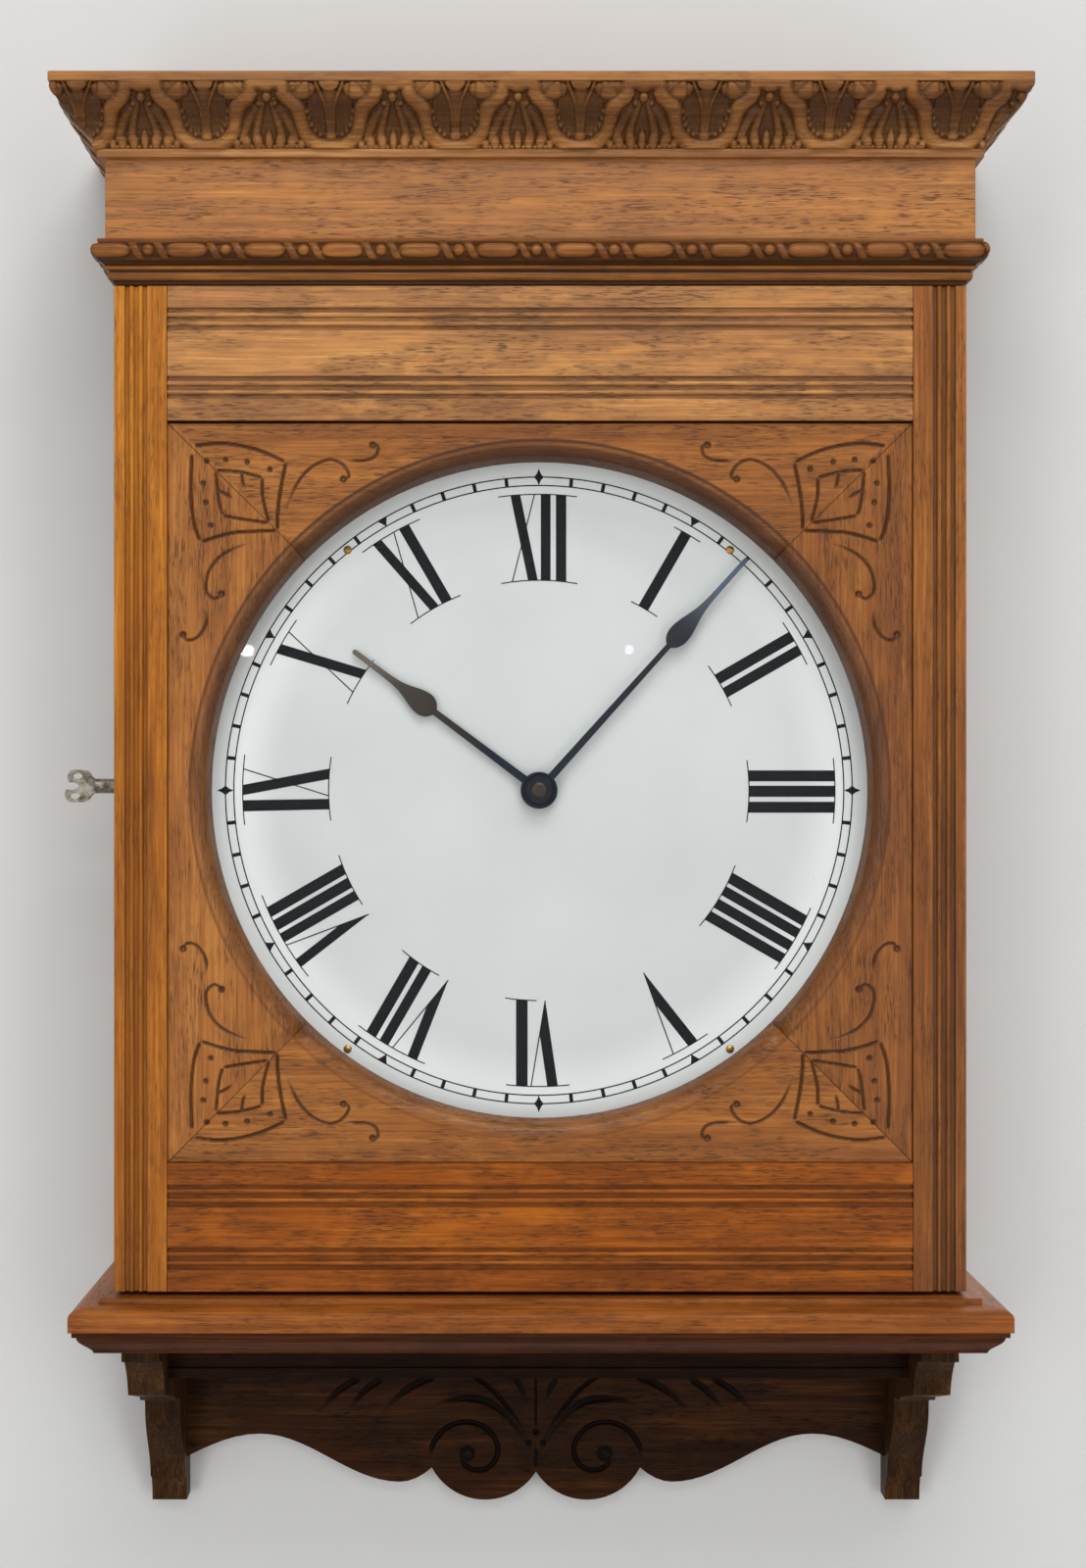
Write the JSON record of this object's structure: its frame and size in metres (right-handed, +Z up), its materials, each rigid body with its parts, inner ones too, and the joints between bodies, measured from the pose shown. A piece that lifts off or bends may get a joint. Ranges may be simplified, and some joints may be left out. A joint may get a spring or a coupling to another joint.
{
  "type": "self-winding wall clock",
  "caption": "Oak wall clock with a carved cornice, hinged glazed front, round white Roman dial, spade hands, side key, battery rewinding movement and pendulum.",
  "frame": {"origin": "on the wall plane on the axis of the hands", "axes": "+X to the right seen from the front, +Y into the wall, +Z up"},
  "size_m": [0.6774, 0.2088, 1.0222],
  "materials": {
    "oak": "oiled and varnished golden quartered oak",
    "carved_oak": "carved varnished oak, darker in the cuts",
    "dark_oak": "dark varnished oak",
    "pine_board": "plain sawn pine",
    "dial_paint": "satin white dial paint",
    "brass": "lacquered",
    "bright_steel": "ground",
    "zinced_steel": "zinc coated",
    "japanned_iron": "black japan",
    "wound_copper": "cotton covered wire, shellacked",
    "cell_card": "waxed card sleeve",
    "lead_cover": "braided cotton",
    "glass": "clear",
    "nickel": "worn nickel plate",
    "blued_steel": "heat blued"
  },
  "bodies": {
    "case": {"back_board": "pine_board", "left_side": "oak", "right_side": "oak", "head_rail": "oak", "crown_top": "oak", "crown_moulding": "carved_oak", "frieze": "oak", "bead_moulding": "carved_oak", "base_board": "oak", "base_moulding": "dark_oak", "under_rail": "dark_oak", "brackets": "dark_oak", "apron": "dark_oak", "hanger_plate": "zinced_steel", "dial_rails": "pine_board", "dial_pan": "dial_paint", "dial_screws": "brass", "movement_seat": "japanned_iron", "back_plate": "brass", "front_plate": "brass", "plate_pillars": "brass", "motor_frame": "japanned_iron", "motor_coils": "wound_copper", "suspension_block": "brass", "dry_cells": "cell_card", "cell_terminals": "brass", "battery_straps": "zinced_steel", "battery_leads": "lead_cover", "case_hinge_leaves": "brass", "hinge_pins": "brass", "escutcheon": "nickel"},
    "door": {"left_stile": "oak", "right_stile": "oak", "top_rail": "oak", "bottom_rail": "oak", "spandrel_frame": "oak", "glass": "glass", "glass_stop": "dark_oak", "door_hinge_leaves": "brass", "strike_plate": "bright_steel"},
    "minute": {"centre_arbor": "bright_steel", "centre_wheel": "brass", "cannon_pinion": "bright_steel", "minute_hand": "blued_steel", "hand_nut": "brass"},
    "hour": {"hour_wheel": "brass", "hour_hand": "blued_steel"},
    "minute_wheel": {"minute_wheel": "brass"},
    "third": {"third_wheel": "brass"},
    "fourth": {"fourth_wheel": "brass"},
    "escape": {"escape_wheel": "brass"},
    "pallets": {"pallets": "bright_steel"},
    "pendulum": {"pendulum_rod": "bright_steel", "pendulum_bob": "brass"},
    "rating_nut": {"rating_nut": "brass"},
    "rotor": {"motor_rotor": "bright_steel"},
    "winding": {"winding_wheel": "brass"},
    "lock": {"latch_spindle": "bright_steel", "latch_cam": "bright_steel"},
    "key": {"key": "nickel"}
  },
  "joints": [
    {"name": "door_swing", "type": "hinge", "parent": "case", "child": "door", "pos_m": [0.296, -0.1483, 0], "axis": [0, 0, 1], "range_deg": [0, 115]},
    {"name": "hands_turn", "type": "hinge", "parent": "case", "child": "minute", "pos_m": [0, -0.08, 0], "axis": [0, 1, 0], "continuous": true},
    {"name": "hour_turn", "type": "hinge", "parent": "case", "child": "hour", "pos_m": [0, -0.12, 0], "axis": [0, 1, 0], "continuous": true},
    {"name": "minute_wheel_turn", "type": "hinge", "parent": "case", "child": "minute_wheel", "pos_m": [0.01527, -0.112, -0.01527], "axis": [0, 1, 0], "continuous": true},
    {"name": "third_turn", "type": "hinge", "parent": "case", "child": "third", "pos_m": [-0.04001, -0.08, 0.0231], "axis": [0, 1, 0], "continuous": true},
    {"name": "fourth_turn", "type": "hinge", "parent": "case", "child": "fourth", "pos_m": [-0.02642, -0.08, 0.05644], "axis": [0, 1, 0], "continuous": true},
    {"name": "escape_turn", "type": "hinge", "parent": "case", "child": "escape", "pos_m": [0, -0.08, 0.062], "axis": [0, 1, 0], "continuous": true},
    {"name": "pendulum_swing", "type": "hinge", "parent": "case", "child": "pendulum", "pos_m": [0, -0.0355, 0.08604], "axis": [0, 1, 0], "range_deg": [-3.5, 3.5]},
    {"name": "pallets_rock", "type": "hinge", "parent": "case", "child": "pallets", "pos_m": [0, -0.08, 0.08604], "axis": [0, 1, 0], "range_deg": [-3.5, 3.5]},
    {"name": "nut_turn", "type": "hinge", "parent": "pendulum", "child": "rating_nut", "pos_m": [0, -0.0355, -0.195], "axis": [0, 0, 1], "continuous": true},
    {"name": "rotor_spin", "type": "hinge", "parent": "case", "child": "rotor", "pos_m": [0, -0.08, -0.0432], "axis": [0, 1, 0], "continuous": true},
    {"name": "winding_turn", "type": "hinge", "parent": "case", "child": "winding", "pos_m": [0, -0.094, 0], "axis": [0, 1, 0], "continuous": true},
    {"name": "lock_turn", "type": "hinge", "parent": "case", "child": "lock", "pos_m": [-0.286, -0.09, 0.0035], "axis": [-1, 0, 0], "range_deg": [0, 90]},
    {"name": "key_pull", "type": "slide", "parent": "lock", "child": "key", "axis": [-1, 0, 0], "range_m": [0, 0.03]}
  ],
  "couplings": [
    {"joint": "hour_turn", "follows": "hands_turn", "ratio": 0.083333},
    {"joint": "minute_wheel_turn", "follows": "hands_turn", "ratio": -0.33333},
    {"joint": "third_turn", "follows": "hands_turn", "ratio": -6},
    {"joint": "fourth_turn", "follows": "hands_turn", "ratio": 30},
    {"joint": "escape_turn", "follows": "hands_turn", "ratio": -120},
    {"joint": "pallets_rock", "follows": "pendulum_swing", "ratio": 1},
    {"joint": "winding_turn", "follows": "rotor_spin", "ratio": -0.125}
  ]
}
